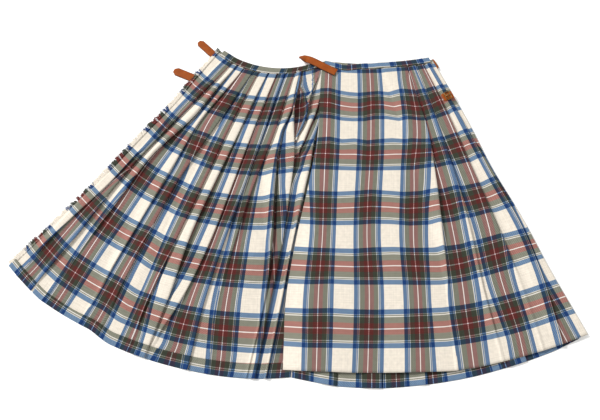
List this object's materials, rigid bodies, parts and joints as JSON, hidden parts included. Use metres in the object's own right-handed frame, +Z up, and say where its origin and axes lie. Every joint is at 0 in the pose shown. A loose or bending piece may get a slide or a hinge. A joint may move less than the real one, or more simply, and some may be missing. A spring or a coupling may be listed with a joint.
{
  "type": "checked skirt",
  "caption": "Knife-pleated wrap skirt in a woven check, laid open flat on its back, with a fringed apron edge, narrow waistband, leather straps and buckle tabs.",
  "frame": {"origin": "bottom centre of the bounding box, on the surface that the skirt lies on", "axes": "+Z up from the surface, +Y from the hem towards the waist, +X to the right seen from above, along the hem"},
  "size_m": [1.1253, 0.7531, 0.0165],
  "materials": {
    "check_cloth": "brushed twill",
    "band_cloth": "brushed twill",
    "fringe_yarn": "loose yarn",
    "leather": "smooth, satin",
    "steel": "satin"
  },
  "bodies": {
    "root": {"over_apron": "check_cloth", "pleated_back": "check_cloth", "under_apron": "check_cloth", "inner_waistband": "band_cloth", "apron_waistband": "band_cloth", "fringe": "fringe_yarn", "waist_strap": "leather", "hip_strap": "leather", "under_strap": "leather", "waist_buckle_tab": "leather", "hip_buckle_tab": "leather", "waist_buckle": "steel", "hip_buckle": "steel"}
  },
  "joints": []
}
